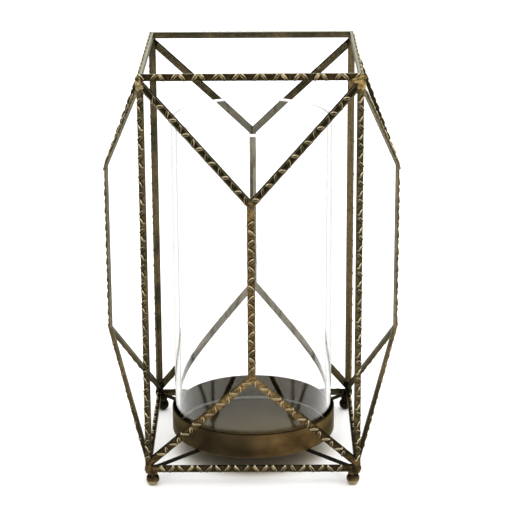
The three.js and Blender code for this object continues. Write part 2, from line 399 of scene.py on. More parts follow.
def clear_glass():
    """Clear soda glass with a satin ground rim and a faint ripple, and painted shade: grey where it is
    seen edge-on.

    The ground attribute is 1 on the rims.
    """
    s = Shader("clear_glass")
    edge_on = s.node("ShaderNodeFresnel")
    edge_on.inputs["IOR"].default_value = 1.46
    ground = s.attribute("ground")
    # Painted shade: a grey base colour where the wall is seen edge-on, less on the ground rims.
    grey = s.ramp(edge_on.outputs["Fac"], 0.23, 0.76)
    grey = s.math("MULTIPLY", grey, s.ramp(ground, 0.0, 1.0, 1.0, 0.28))
    s.set("Base Color", s.mix(grey, GLASS_CLEAR, GLASS_EDGE_ON))
    s.set("Transmission Weight", s.ramp(ground, 0.0, 1.0, 1.0, 0.5))
    s.set("IOR", 1.42)
    s.set("Specular Tint", GLASS_TINT)
    s.set("Roughness", s.math("MULTIPLY", ground, 0.75))
    s.set("Normal", s.bump(s.noise(14, 2, stretch=(1, 1, 0.25)), 0.3 * MM, 0.1))
    return s.material


FLOOR_WHITES = ((0.955, 0.955, 0.95), (0.965, 0.965, 0.96))
# Colour of the painted shadow under the dish.
FLOOR_PAINTED_SHADOW = (0.66, 0.60, 0.47)
PAINTED_SHADOW_RADII = (0.092, 0.055)      # outer and inner radius of the painted shadow on the floor, dark and warm


def floor_white():
    """White floor, with a painted shadow under the dish, dark and warm as from the bronze above."""
    s = Shader("floor_white")
    white = s.mix(s.noise(30, 2), *FLOOR_WHITES)
    away = s.node("ShaderNodeVectorMath", operation="LENGTH")
    s.feed(away.inputs[0], s.coordinates())
    # Painted shadow: darker and warmer towards the middle, under the dish.
    s.set("Base Color", s.mix(s.ramp(away.outputs["Value"], *PAINTED_SHADOW_RADII), white, FLOOR_PAINTED_SHADOW))
    s.set("Roughness", 0.9)
    s.set("Specular IOR Level", 0.15)
    return s.material


# ---- Mesh helpers ------------------------------------------------------------------------------


def mesh_object(name, points, faces, material, sharp_degrees=48, **attributes):
    """A smooth-shaded object from points and faces, with the attributes' values at its points."""
    mesh = bpy.data.meshes.new(name)
    mesh.from_pydata(points.tolist() if hasattr(points, "tolist") else points, [], faces)
    for key, values in attributes.items():
        attribute = mesh.attributes.new(key, "FLOAT", "POINT")
        attribute.data.foreach_set("value", np.asarray(values, np.float32).ravel())
    mesh.shade_smooth()
    mesh.set_sharp_from_angle(angle=math.radians(sharp_degrees))
    mesh.materials.append(material)
    made = bpy.data.objects.new(name, mesh)
    bpy.context.scene.collection.objects.link(made)
    return made


def place_piece(piece, body, slot, *nodes):
    """Tells the frame which body carries the piece and the CAD nodes it stands in for. The slot is not used.
    """
    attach(piece, body)
    if nodes:
        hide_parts(*nodes)


def tube_faces(rings, around):
    """Quads between successive closed rings, with a cap at each end."""
    faces = []
    for i in range(rings - 1):
        for j in range(around):
            k = (j + 1) % around
            faces.append((i * around + j, i * around + k, (i + 1) * around + k, (i + 1) * around + j))
    faces.append(tuple(reversed(range(around))))
    faces.append(tuple(range((rings - 1) * around, rings * around)))
    return faces


def quarter_turn(points, turns):
    """Points turned about Z by whole quarter turns."""
    x, y = points[..., 0], points[..., 1]
    for _ in range(turns):
        x, y = -y, x
    return np.stack([x, y, points[..., 2]], axis=-1)


def inside_cad_box(points):
    """Lumps are ground flush with the CAD model's outline."""
    return np.clip(points, np.array(CAD_LOW), np.array(CAD_HIGH))


# ---- Hammered bars -----------------------------------------------------------------------------

LIP_HEIGHT = 1.15 * MM           # of the burr thrown up round a nick
LIP_SPREAD = 0.48 * MM
UPPER_LIP = 0.32                 # the upper lip is this share higher than that, the lower one lower, and painted as much brighter
PIT_DEPTH = 0.60 * MM
PIT_SHADE = 0.34 * MM             # half width of the painted shade along a pit's bottom
NICK_HALF_WIDTH = 1.22 * MM
NICK_HALF_LENGTH = 4.1 * MM
NICK_LEAN = 46                   # degrees from the bar's length, to one side and the other in turn
FOOT_SHADE = (1.4 * MM, 0.8 * MM)  # place and spread of the painted shade round the foot of a lip
FACE_SINK = 0.10 * MM            # the struck face lies this far inside the CAD bar
BACK_SWELL = 0.4 * MM            # and the back this far outside, swollen by the blows
BEVEL_SLOPE = 0.7                # how far a bevel drops over its width
BEVEL_TONE = -0.9                # dark patina and painted shade
BORDER_TONE = 0.5                # painted highlight on the two borders of a face that has a bevel
UPPER_BORDER = (-0.55 * MM, 0.15 * MM)  # from the bevel's lower side, down and up
LOWER_BORDER = 0.85 * MM         # from the lower side of the face
STEP = 0.38 * MM                 # along the bar
FACE_POINTS = 16                 # across the struck face
CORNER_RADIUS = 0.35 * MM
CORNER_SHARE = 0.75              # of the relief, on the bar's two struck corners
EDGE_SHARE = 0.4                 # and halfway down its narrow edges

# How each kind of bar is struck and worn, with its painted light and shade:
#   pitch   the spaces after the two leans of a nick
#   plain   the length without nicks at the bar's start and end
#   shift   how far the nicks lie above the middle of the bar's face
#   fill    how much brass shows inside a nick
#   shine   how much brass shows on its lip
#   face    tone of the struck face: tones run from -1, dark patina and painted shade, to 1, worn
#           steel and painted highlight
#   corner  tone of the upper corner of the struck face
#   upper   tones of the upper narrow edge at the bar's start and end: a painted highlight on a
#           top rail, painted shade on a bottom rail
#   edge    tone of the other narrow edge, and of both on an upright bar, a painted highlight there
#   gold    brown heat colour at the start and the end as (strength, length), then everywhere
#   patina  1 for the brown of the struck face, 0 for the olive of the back
# and, where a bar needs them:
#   nick    size of the nicks
#   bevel   width of a bevel along the upper side of the struck face
#   wider   how much wider the bar is than the CAD's
#   brown   1 for a back without olive, painted warm brown as a painted highlight
NO_HEAT = ((0, 1), (0, 1), 0.0)
BAR_PITCH = (7.8 * MM, 9.4 * MM)
# The top rails' upper edges are toned light: a painted highlight from the light above.
TOP_RAIL = dict(
    pitch=(6.4 * MM, 11.7 * MM), plain=(0.6 * MM, 2 * MM), shift=0.45 * MM, fill=1.0, shine=0.92,
    face=-0.65, corner=0.0, upper=(0.85, 0.85), edge=0.1, gold=NO_HEAT, patina=1.0, nick=1.06,
)
FRONT_TOP_RAIL = dict(TOP_RAIL, upper=(0.6, 0.6))
# The bottom rail's upper edge and upper corner are toned dark: painted shade under the dish.
BOTTOM_RAIL = dict(
    pitch=(8.4 * MM, 9.2 * MM), plain=(12 * MM, 12 * MM), shift=0.2 * MM, fill=0.8, shine=0.9,
    face=-0.6, corner=-0.7, upper=(-0.8, -0.8), edge=0.1, gold=NO_HEAT, patina=0.5,
)
POST = dict(
    pitch=BAR_PITCH, plain=(15 * MM, 12 * MM), shift=0.0, fill=0.4, shine=0.8,
    face=-0.2, corner=0.0, upper=(0.05, 0.05), edge=0.05, gold=NO_HEAT, patina=0.3,
)
BACK_LEFT_POST = dict(POST, upper=(-0.3, -0.3), edge=-0.3, wider=0.5 * MM)
# The back right post's back is painted warm brown: a painted highlight from the light on the right.
BACK_RIGHT_POST = dict(BACK_LEFT_POST, brown=0.8)
POST_STYLES = {"back_left": BACK_LEFT_POST, "back_right": BACK_RIGHT_POST}
# The upright's narrow edges are toned light: a painted highlight.
UPRIGHT = dict(
    pitch=BAR_PITCH, plain=(7 * MM, 14 * MM), shift=0.0, fill=0.6, shine=0.95,
    face=-0.15, corner=0.0, upper=(0.3, 0.3), edge=0.3, gold=((0.6, 25 * MM), (0.9, 18 * MM), 0.28),
    patina=1.0,
)
# The upper arm's bevel is toned dark, painted shade with patina, and its borders light, a painted highlight.
UPPER_ARM = dict(
    pitch=BAR_PITCH, plain=(6 * MM, 15 * MM), shift=-0.5 * MM, fill=0.55, shine=0.95,
    face=-0.8, corner=-0.9, upper=(-1.0, -1.0), edge=0.35, gold=((0.4, 10 * MM), (0, 1), 0.0),
    patina=1.0, nick=0.88, bevel=1.3 * MM,
)
LOWER_ARM = dict(
    pitch=BAR_PITCH, plain=(6 * MM, 13 * MM), shift=0.0, fill=0.65, shine=1.0,
    face=-0.4, corner=-0.5, upper=(-0.1, -1.0), edge=0.2, gold=((1.0, 90 * MM), (0, 1), 0.0),
    patina=1.0,
)


def bar_outline(width, thickness):
    """Points round a bar's section: across, facing, normal across, normal facing, share of the relief.

    The hammered face is at +facing. The relief fades out down the two sides.
    """
    half_width = width / 2
    front = thickness / 2 - FACE_SINK
    back = -thickness / 2 - BACK_SWELL
    r = CORNER_RADIUS
    places = np.linspace(half_width - r, -half_width + r, FACE_POINTS)[:-1]
    rows = [(across, front, 0.0, 1.0, 1.0) for across in places]
    corners = (
        (-half_width + r, front - r, 90, CORNER_SHARE),
        (-half_width + r, back + r, 180, 0.0),
        (half_width - r, back + r, 270, 0.0),
        (half_width - r, front - r, 0, CORNER_SHARE),
    )
    middle = (front + back) / 2
    between = (
        [(-half_width, middle, -1.0, 0.0, EDGE_SHARE)],
        [(0.0, back, 0.0, -1.0, 0.0)],
        [(half_width, middle, 1.0, 0.0, EDGE_SHARE)],
        [],
    )
    for (across, facing, first, share), extra in zip(corners, between):
        for degrees in (first, first + 30, first + 60, first + 90):
            c, s = math.cos(math.radians(degrees)), math.sin(math.radians(degrees))
            rows.append((across + r * c, facing + r * s, c, s, share))
        rows += extra
    return np.array(rows[:-1])


class BarSection:
    """A bar's outline, and which of its points lie on the face, the bevel, the corners and sides.

    Rises says whether the bar's across direction points up (1), down (-1) or neither (0).
    """

    def __init__(self, width, thickness, rises, bevel):
        outline = bar_outline(width, thickness)
        self.across, self.facing, self.normal_across, self.normal_facing, self.share = outline.T
        upper = self.across * rises > 0
        hammered = self.share >= CORNER_SHARE
        past = np.abs(self.across) - (width / 2 - bevel)
        self.past_bevel = np.clip(past, 0, bevel) * upper * hammered
        self.bevelled = self.past_bevel > 0
        self.struck = hammered & ~self.bevelled
        self.face = (self.share == 1) & ~self.bevelled
        upper_border = upper & (past > UPPER_BORDER[0]) & (past < UPPER_BORDER[1])
        lower_border = ~upper & (past > bevel - LOWER_BORDER)
        self.border = (self.share == 1) & (upper_border | lower_border) & (bevel > 0)
        self.upper_corner = (self.share == CORNER_SHARE) & upper
        side = (np.abs(self.across) > width / 2 - CORNER_RADIUS) & (self.normal_facing < 0.9)
        side &= (self.share < 1) & (self.share != CORNER_SHARE)
        self.upper_side = side & upper
        self.other_side = side & ~upper


def nick_list(length, style, climb, rng):
    """Nicks along a bar: (place, shift across, lean, strength, darkness of the painted shade in the pit).

    Climb is how steeply the bar's length and its width rise. Level nicks are struck hardest, and the
    brass on them is painted brightest, a painted highlight.
    """
    nicks = []
    first, last = style["plain"]
    place = first + rng.uniform(0, 0.2) * style["pitch"][0]
    turn = 1
    while place < length - last:
        lean = math.radians(NICK_LEAN + rng.uniform(-5, 5)) * (1 if turn % 2 == 0 else -1)
        shift = style["shift"] * (-1 if climb[1] < 0 else 1) + rng.uniform(-0.35, 0.35) * MM
        jitter = rng.uniform(-0.35, 0.35) * MM
        level = 1 - abs(climb[0] * math.cos(lean) + climb[1] * math.sin(lean))
        strength = rng.uniform(0.75, 1.1) * (0.82 + 0.34 * level)
        nicks.append((place + jitter, shift, lean, strength, rng.uniform(0.1, 0.9)))
        place += style["pitch"][turn % 2]
        turn += 1
    return nicks


def struck_face(along, across, nicks, size, fill, climb, rng):
    """Height of the struck face, how much brass and painted highlight show on it, and its tone.

    A nick is a leaf-shaped pit inside a raised lip, higher on one side, as a chisel leaves it: the
    upper side, or either on a nick that stands on end. The higher lip and the nick's upper end get a
    painted highlight. Painted shade darkens the pit's bottom and the foot of the lip.
    """
    height = np.zeros_like(along)
    rub = np.zeros_like(along)
    tone = np.zeros_like(along)
    for place, shift, lean, strength, dark in nicks:
        c, s = math.cos(lean), math.sin(lean)
        p = (along - place) * c + (across - shift) * s
        q = -(along - place) * s + (across - shift) * c
        reach = np.clip(1 - (p / (size * NICK_HALF_LENGTH)) ** 2, 0, None)
        lip_place = size * NICK_HALF_WIDTH * reach
        outside = np.abs(q) - lip_place
        lip = np.exp(-((outside / LIP_SPREAD) ** 2)) * np.minimum(1, reach * 3)
        rise = c * climb[1] - s * climb[0]
        upper = math.copysign(1, rise) if abs(rise) > 0.3 else rng.choice((-1, 1))
        higher = 1 + UPPER_LIP * upper * np.sign(q)
        inside = np.clip(1 - np.abs(q) / np.maximum(lip_place, 0.05 * MM), 0, 1) * (reach > 0)
        height += strength * (lip * higher * LIP_HEIGHT - inside * (PIT_DEPTH + 0.3 * LIP_HEIGHT))
        # Painted shade along the pit's bottom, stronger on some nicks than on others.
        pit_shade = np.exp(-((q / PIT_SHADE) ** 2)) * np.minimum(1, inside * 3)
        leaf = np.minimum(1, inside * 4) * fill
        # Painted highlight, brighter towards the nick's upper end and on the higher lip.
        lift = (along - place) * climb[0] + (across - shift) * climb[1]
        painted_end_highlight = 0.9 + 0.4 * np.clip(lift / NICK_HALF_LENGTH, -1, 1)
        rub = np.maximum(rub, strength * painted_end_highlight * np.maximum(lip * higher, leaf * (1 - dark * pit_shade)))
        # Painted shade round the foot of the lip.
        shade_place, shade_spread = FOOT_SHADE
        foot_shade = np.exp(-(((outside - shade_place) / shade_spread) ** 2)) * np.minimum(1, reach * 2)
        tone = np.minimum(tone, -np.maximum(dark * pit_shade, 0.9 * foot_shade * (outside > 0)))
    tone *= 1 - np.clip(rub * 1.2, 0, 1) * (tone > -0.7)
    return np.clip(height, -PIT_DEPTH, LIP_HEIGHT), np.clip(rub, 0, 1), tone


def end_distance(start, axes, section, plane):
    """How far along the bar each point of its section meets a cutting plane (point, normal)."""
    along, across, facing = axes
    point, normal = Vector(plane[0]), Vector(plane[1])
    offsets = np.array([(across * a + facing * f)[:] for a, f in zip(section.across, section.facing)])
    to_plane = np.array((point - start)[:]) - offsets
    return to_plane @ np.array(normal[:]) / along.dot(normal)


def ring_places(start, axes, section, planes):
    """Distances along the bar: a row for each ring, a column for each point of the section."""
    begin, finish = (end_distance(start, axes, section, plane) for plane in planes)
    rings = max(2, round(float((finish - begin).mean()) / STEP))
    return begin + (finish - begin) * np.linspace(0, 1, rings)[:, None]


def heat_colour(places, length, style):
    """How golden brown the welds at its ends have left the bar."""
    (first_gold, first_reach), (last_gold, last_reach), everywhere = style["gold"]
    fade_in = np.clip(1 - places / first_reach, 0, 1)
    fade_out = np.clip(1 - (length - places) / last_reach, 0, 1)
    return np.maximum(everywhere, np.maximum(first_gold * fade_in**0.6, last_gold * fade_out**0.6))


def tone_and_painted_light(tone, rub, gold, along_share, section, style):
    """The nicks' tone with that of the face, bevel, corners and narrow edges round them."""
    field = style["face"] * section.face * (1 - rub) * (1 - gold)
    tone = np.minimum(tone * (1 - 0.7 * gold), field) * section.share
    tone = np.where(section.border, np.maximum(tone, BORDER_TONE * (1 - rub)), tone)
    tone = np.where(section.bevelled, BEVEL_TONE, tone)
    corner = style["corner"] * (1 - 0.6 * rub) * (1 - gold)
    tone = np.where(section.upper_corner, np.minimum(tone, corner), tone)
    first, last = style["upper"]
    tone = np.where(section.upper_side, first + (last - first) * along_share, tone)
    return np.where(section.other_side, style["edge"], tone)


def hammered_bar(node, start, end, outward, size, planes, style, turns, material):
    """A struck flat bar in place of a CAD node, drawn at the front and turned to its own side."""
    width, thickness = size
    rng = random.Random(node)
    start, end = Vector(start), Vector(end)
    length = (end - start).length
    along = (end - start).normalized()
    across = Vector(outward).cross(along).normalized()
    facing = along.cross(across)
    climb = (along.z, across.z)
    section = BarSection(width, thickness, np.sign(round(across.z, 6)), style.get("bevel", 0.0))
    places = ring_places(start, (along, across, facing), section, planes)
    inner = width / 2 - 0.5 * MM
    spread = np.broadcast_to(np.clip(section.across, -inner, inner), places.shape)
    nicks = nick_list(length, style, climb, rng)
    height, rub, tone = struck_face(places, spread, nicks, style.get("nick", 1.0), style["fill"], climb, rng)
    height, rub, tone = (values * ~section.bevelled for values in (height, rub, tone))
    gold = heat_colour(places, length, style)
    tone = tone_and_painted_light(tone, rub, gold, np.clip(places / length, 0, 1), section, style)
    height = height * section.share * (1 - 0.4 * gold)
    rub = rub * section.share * style["shine"] * (1 - 0.25 * gold)
    a = section.across + height * section.normal_across
    f = section.facing + height * section.normal_facing - BEVEL_SLOPE * section.past_bevel
    points = (
        np.array(start[:])
        + places[..., None] * np.array(along[:])
        + a[..., None] * np.array(across[:])
        + f[..., None] * np.array(facing[:])
    )
    points = inside_cad_box(quarter_turn(points, turns)).reshape(-1, 3)
    struck = np.broadcast_to(section.struck * style["patina"], places.shape)
    brown = np.full(places.shape, style.get("brown", 0.0))
    values = dict(rub=rub, struck=struck, tone=tone, gold=gold * struck, brown=brown)
    faces = tube_faces(len(places), len(section.across))
    piece = mesh_object("hammered_" + node, points, faces, material, **values)
    place_piece(piece, "cage", "hammered_bronze", node)


def square_ends(start, end):
    """Cutting planes square to a bar, at its two ends."""
    along = (Vector(end) - Vector(start)).normalized()
    return ((start, along), (end, along))


def build_rails(side, turns, material):
    """The top and bottom rail of one side, mitred at the corners."""
    h = POST_OFFSET
    top_style = FRONT_TOP_RAIL if side == "front" else TOP_RAIL
    for name, z, style in (("top", TOP_RAIL_Z, top_style), ("bottom", BOTTOM_RAIL_Z, BOTTOM_RAIL)):
        ends = (Vector((-h, -h, z)), Vector((h, -h, z)))
        mitres = ((ends[0], (1, -1, 0)), (ends[1], (1, 1, 0)))
        size = (CAGE_WIDTH, CAGE_THICKNESS)
        hammered_bar(f"{name}_rail_{side}", *ends, (0, -1, 0), size, mitres, style, turns, material)


def build_post(corner, turns, material):
    """A corner post, whose struck face looks out along the diagonal."""
    node = f"post_{corner}"
    low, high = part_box(node)
    ends = [Vector((POST_OFFSET, -POST_OFFSET, z)) for z in (low.z, high.z)]
    style = POST_STYLES.get(corner, POST)
    size = (CAGE_WIDTH + style.get("wider", 0.0), CAGE_THICKNESS)
    hammered_bar(node, *ends, (1, -1, 0), size, square_ends(*ends), style, turns, material)


def build_arms(side, level, node_point, post_z, style, turns, material):
    """Two arms from a node to the posts, mitred together and cut to the posts' inner edges."""
    h = POST_OFFSET
    size = (TRUSS_WIDTH, TRUSS_THICKNESS)
    mitre = (node_point, (1, 0, 0))
    for hand, sign in (("left", -1), ("right", 1)):
        end = Vector((sign * h, -h, post_z))
        twin = Vector((-sign * h, -h, post_z))
        outward = (end - node_point).cross(twin - node_point)
        if outward.y > 0:
            outward.negate()
        post_edge = (end - Vector((sign, 1, 0)).normalized() * CAGE_WIDTH / 2, (sign, 1, 0))
        name = f"{side}_{level}_arm_{hand}"
        hammered_bar(name, node_point, end, outward, size, (mitre, post_edge), style, turns, material)


def build_truss(side, turns, material):
    """The upright and four arms that bulge out from one side."""
    ends = (LOWER_NODE, UPPER_NODE)
    size = (TRUSS_WIDTH, TRUSS_THICKNESS)
    hammered_bar(f"{side}_upright", *ends, (0, -1, 0), size, square_ends(*ends), UPRIGHT, turns, material)
    build_arms(side, "upper", UPPER_NODE, TOP_RAIL_Z - ARM_DROP, UPPER_ARM, turns, material)
    build_arms(side, "lower", LOWER_NODE, BOTTOM_RAIL_Z + ARM_DROP, LOWER_ARM, turns, material)


def build_cage(material):
    """All the hammered bars, side by side of the cage."""
    for turns, (side, corner) in enumerate(zip(SIDES, CORNERS)):
        build_rails(side, turns, material)
        build_post(corner, turns, material)
        build_truss(side, turns, material)


# ---- Welds -------------------------------------------------------------------------------------

VOXEL = 0.45 * MM
LUMP_FREQUENCY = 230             # per metre
LUMP_HEIGHT = 0.24 * MM
LUMP_RUB = 0.45                  # how much more brass shows on a lump than beside it
BEAD_STEP = 1.2 * MM
WELD_SHARP_DEGREES = 80
# Polish runs from -1, black, to 1, rubbed to brass; the dark values at the back corners are painted shade.
TOP_POLISH_AND_SHADE = {"front_right": 0.62, "front_left": 0.52, "back_left": -0.1, "back_right": -0.1}
TOP_PALE = {"front_left": 0.6}
TOP_WELD_SIZE = {"front_right": 1.2, "front_left": 0.9, "back_left": 0, "back_right": 0}
BOTTOM_POLISH_AND_SHADE = {"front_right": 0.08, "front_left": 0.05, "back_left": -0.5, "back_right": -0.5}
NODE_POLISH = {"upper": 0.12, "lower": 0.4}


def unit_ball():
    """Points and faces of a ball of radius 1."""
    ball = bmesh.new()
    bmesh.ops.create_icosphere(ball, subdivisions=3, radius=1.0)
    points = np.array([v.co[:] for v in ball.verts])
    faces = [tuple(v.index for v in f.verts) for f in ball.faces]
    ball.free()
    return points, faces


def string_of_balls(start, direction, length, first_radius, last_radius):
    """Balls along a bar from a joint, tapering away from it."""
    direction = Vector(direction).normalized()
    steps = max(2, round(length / BEAD_STEP))
    balls = []
    for i in range(steps + 1):
        radius = first_radius + (last_radius - first_radius) * i / steps
        balls.append((Vector(start) + direction * length * i / steps, radius))
    return balls


def fused_balls(name, blobs, material, rng):
    """Points, normals and faces of overlapping balls (centre, radius) fused and softened."""
    ball_points, ball_faces = unit_ball()
    points, faces = [], []
    for centre, radius in blobs:
        offset = len(points) * len(ball_points)
        stretch = radius * np.array([rng.uniform(0.9, 1.08) for _ in range(3)])
        points.append(np.array(centre[:]) + ball_points * stretch)
        faces += [tuple(offset + i for i in face) for face in ball_faces]
    rough = mesh_object(name + "_rough", np.concatenate(points), faces, material)
    fuse = rough.modifiers.new("fuse", "REMESH")
    fuse.mode = "VOXEL"
    fuse.voxel_size = VOXEL
    soften = rough.modifiers.new("soften", "SMOOTH")
    soften.factor = 0.6
    soften.iterations = 5
    settled = rough.evaluated_get(bpy.context.evaluated_depsgraph_get())
    fused = bpy.data.meshes.new_from_object(settled)
    bpy.data.objects.remove(rough)
    places = np.array([v.co[:] for v in fused.vertices])
    normals = np.array([v.normal[:] for v in fused.vertices])
    faces = [tuple(p.vertices) for p in fused.polygons]
    bpy.data.meshes.remove(fused)
    return places, normals, faces


def weld(name, blobs, material, turns, polish_and_shade, pale=0.0):
    """A weld bead, lumpy and polished on its lumps."""
    rng = random.Random(name)
    places, normals, faces = fused_balls(name, blobs, material, rng)
    shift = Vector([rng.uniform(-1, 1) for _ in range(3)])
    lumps = [noise.fractal(Vector(p) * LUMP_FREQUENCY + shift, 0.8, 2.2, 3) for p in places]
    lumps = np.array(lumps)
    places = places + normals * (lumps * LUMP_HEIGHT)[:, None]
    points = inside_cad_box(quarter_turn(places, turns))
    rub = np.clip(polish_and_shade + lumps * LUMP_RUB, -1, 1)
    pale = np.full(len(points), pale)
    piece = mesh_object(name, points, faces, material, WELD_SHARP_DEGREES, rub=rub, pale=pale)
    place_piece(piece, "cage", "hammered_bronze")


def top_corner_weld(corner, turns, material):
    """Beads under the mitre of the top ring, where the post and two arms meet it.

    The two front corners carry extra lumps on the outside, and the right one more along its rail.
    """
    h = POST_OFFSET
    size = TOP_WELD_SIZE[corner]
    outside = Vector((1, -1, 0)).normalized() * (0.9 + 0.5 * size) * MM
    joint = Vector((h, -h, TOP_RAIL_Z - ARM_DROP)) + outside * size
    side_node = Vector((NODE_RADIUS, 0, UPPER_NODE.z))
    blobs = string_of_balls(joint, (0, 0, -1), (4 + size) * MM, (2.0 + size) * MM, 2.0 * MM)
    for node_point in (UPPER_NODE, side_node):
        blobs += string_of_balls(joint, node_point - joint, (2 + 3 * size) * MM, 2.7 * MM, 1.8 * MM)
    if size > 0:
        crown = Vector((h, -h, TOP_RAIL_Z - 1.5 * MM)) + outside
        blobs += string_of_balls(crown, (0, 0, -1), 7 * MM, (2.6 + 0.9 * size) * MM, 3.2 * MM)
    if size > 1:
        blobs += string_of_balls(crown, (-1, 0, -0.3), 9 * MM, 4.2 * MM, 2.6 * MM)
    pale = TOP_PALE.get(corner, 0.0)
    weld(f"weld_top_{corner}", blobs, material, turns, TOP_POLISH_AND_SHADE[corner], pale)


def bottom_corner_weld(corner, turns, material):
    """The heavy lump that joins rails, post, arms, brace rod and foot."""
    h = POST_OFFSET
    joint = Vector((h, -h, BOTTOM_RAIL_Z))
    arm_joint = Vector((h, -h, BOTTOM_RAIL_Z + ARM_DROP))
    side_node = Vector((NODE_RADIUS, 0, LOWER_NODE.z))
    foot_top = Vector((FOOT_OFFSET, -FOOT_OFFSET, 2 * BALL_RADIUS))
    blobs = [(joint.lerp(foot_top, 0.3), 4.6 * MM), (foot_top, 4.7 * MM)]
    blobs += string_of_balls(joint, (-1, 0, 0), 9 * MM, 3.3 * MM, 2.0 * MM)
    blobs += string_of_balls(joint, (0, 1, 0), 9 * MM, 3.3 * MM, 2.0 * MM)
    blobs += string_of_balls(joint, (0, 0, 1), 11 * MM, 4.1 * MM, 2.4 * MM)
    blobs += string_of_balls(joint, (-1, 1, 0), 9 * MM, 3.0 * MM, 1.9 * MM)
    for node_point in (LOWER_NODE, side_node):
        blobs += string_of_balls(arm_joint, node_point - arm_joint, 7 * MM, 3.2 * MM, 2.0 * MM)
    weld(f"weld_bottom_{corner}", blobs, material, turns, BOTTOM_POLISH_AND_SHADE[corner])


def node_weld(side, level, node_point, arm_z, turns, material):
    """A small fillet in the fork of a side's three bars, kept inside their outline."""
    inner = node_point + Vector((0, 0.1 * MM, 0))
    away = 1 if level == "lower" else -1
    blobs = string_of_balls(inner, (0, 0, away), 6 * MM, 2.1 * MM, 1.6 * MM)
    for sign in (-1, 1):
        end = Vector((sign * POST_OFFSET, -POST_OFFSET, arm_z))
        blobs += string_of_balls(inner, end - node_point, 4.5 * MM, 2.1 * MM, 1.5 * MM)
    weld(f"weld_{side}_{level}_node", blobs, material, turns, NODE_POLISH[level])


def build_welds(material):
    """Each side's two nodes and the corner to the right of it."""
    for turns, (side, corner) in enumerate(zip(SIDES, CORNERS)):
        top_corner_weld(corner, turns, material)
        bottom_corner_weld(corner, turns, material)
        node_weld(side, "upper", UPPER_NODE, TOP_RAIL_Z - ARM_DROP, turns, material)
        node_weld(side, "lower", LOWER_NODE, BOTTOM_RAIL_Z + ARM_DROP, turns, material)


# ---- Feet, brace, dish and glass ---------------------------------------------------------------

DENT_SIZE = 4 * MM
BALL_DENTS = 0.03                # of the radius
BALL_PALE = 0.6
BALL_SEGMENTS = 44
ROD_SCALE = 0.3 * MM             # the scale on a rod thickens it by this much all round
ROD_RINGS = 120
ROD_SEGMENTS = 24
DISH_SEGMENTS = 224
GLASS_EDGE_RADIUS = 1.2 * MM
GLASS_SEGMENTS = 192


def arc(centre, radius, first, last, steps):
    """Points (radius, height) of an arc, by angles in degrees from the outward direction."""
    angles = np.radians(np.linspace(first, last, steps + 1))
    return [(centre[0] + radius * math.cos(t), centre[1] + radius * math.sin(t)) for t in angles]


def cap_faces(hub, first, segments, looks_up):
    """A fan of triangles from a hub on the axis to the ring of points that starts at first."""
    faces = []
    for j in range(segments):
        here, there = first + j, first + (j + 1) % segments
        faces.append((hub, here, there) if looks_up else (hub, there, here))
    return faces


def lathe(name, profile, segments, material, at=(0, 0), dents=0.0, **attributes):
    """Turns a profile of (radius, height) about a vertical axis. It closes on the axis or on itself.

    Each attribute has one value for each point of the profile. Dents are a share of the radius.
    """
    rng = random.Random(name)
    shift = Vector([rng.uniform(-5, 5) for _ in range(3)])
    on_axis = profile[0][0] == 0
    ring = profile[1:-1] if on_axis else profile
    points = []
    for radius, z in ring:
        for t in np.linspace(0, 2 * math.pi, segments, endpoint=False):
            x, y = radius * math.cos(t), radius * math.sin(t)
            out = 1 + dents * noise.noise(Vector((x, y, z)) / DENT_SIZE + shift) if dents else 1
            points.append((at[0] + x * out, at[1] + y * out, z))
    count = len(ring)
    faces = []
    for i in range(count - 1 if on_axis else count):
        k = (i + 1) % count
        for j in range(segments):
            m = (j + 1) % segments
            faces.append((i * segments + j, i * segments + m, k * segments + m, k * segments + j))
    if on_axis:
        faces += cap_faces(len(points), 0, segments, looks_up=False)
        points.append((at[0], at[1], profile[0][1]))
        faces += cap_faces(len(points), (count - 1) * segments, segments, looks_up=True)
        points.append((at[0], at[1], profile[-1][1]))
    filled = {}
    for key, values in attributes.items():
        filled[key] = np.zeros(len(points))
        filled[key][: count * segments] = np.repeat(values[1:-1] if on_axis else values, segments)
    return mesh_object(name, points, faces, material, **filled)


def build_feet(material):
    """Cast balls with a small flat underneath and a short neck into the weld above.

    A highlight is painted on their lower part, brightest near the floor and fading to painted shade on
    top, and painted shade darkens the two at the back.
    """
    for corner in CORNERS:
        node = f"foot_{corner}"
        low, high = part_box(node)
        middle = (low + high) / 2
        chamfer = 0.3 * MM
        flat = -math.degrees(math.asin(BALL_Z / BALL_RADIUS))
        neck_angle = math.degrees(math.acos(FOOT_NECK_RADIUS / BALL_RADIUS))
        profile = [(0, 0), (0.7 * MM, 0)]
        profile += arc((0, BALL_Z), BALL_RADIUS, flat, neck_angle, 26)
        profile += [(FOOT_NECK_RADIUS, high.z - chamfer), (FOOT_NECK_RADIUS - chamfer, high.z)]
        profile += [(0, high.z)]
        # Painted shade on the two back balls and on each ball's top; painted highlight low down.
        darkening = 0.9 if "back" in corner else 0.0
        rub = [1.35 - 0.18 * z / MM - darkening for _, z in profile]
        pale = [BALL_PALE] * len(profile)
        at = (middle.x, middle.y)
        piece = lathe("ball_" + node, profile, BALL_SEGMENTS, material, at, BALL_DENTS, rub=rub, pale=pale)
        places = np.array([v.co[:] for v in piece.data.vertices])
        piece.data.vertices.foreach_set("co", inside_cad_box(places).ravel())
        place_piece(piece, "cage", "hammered_bronze", node)


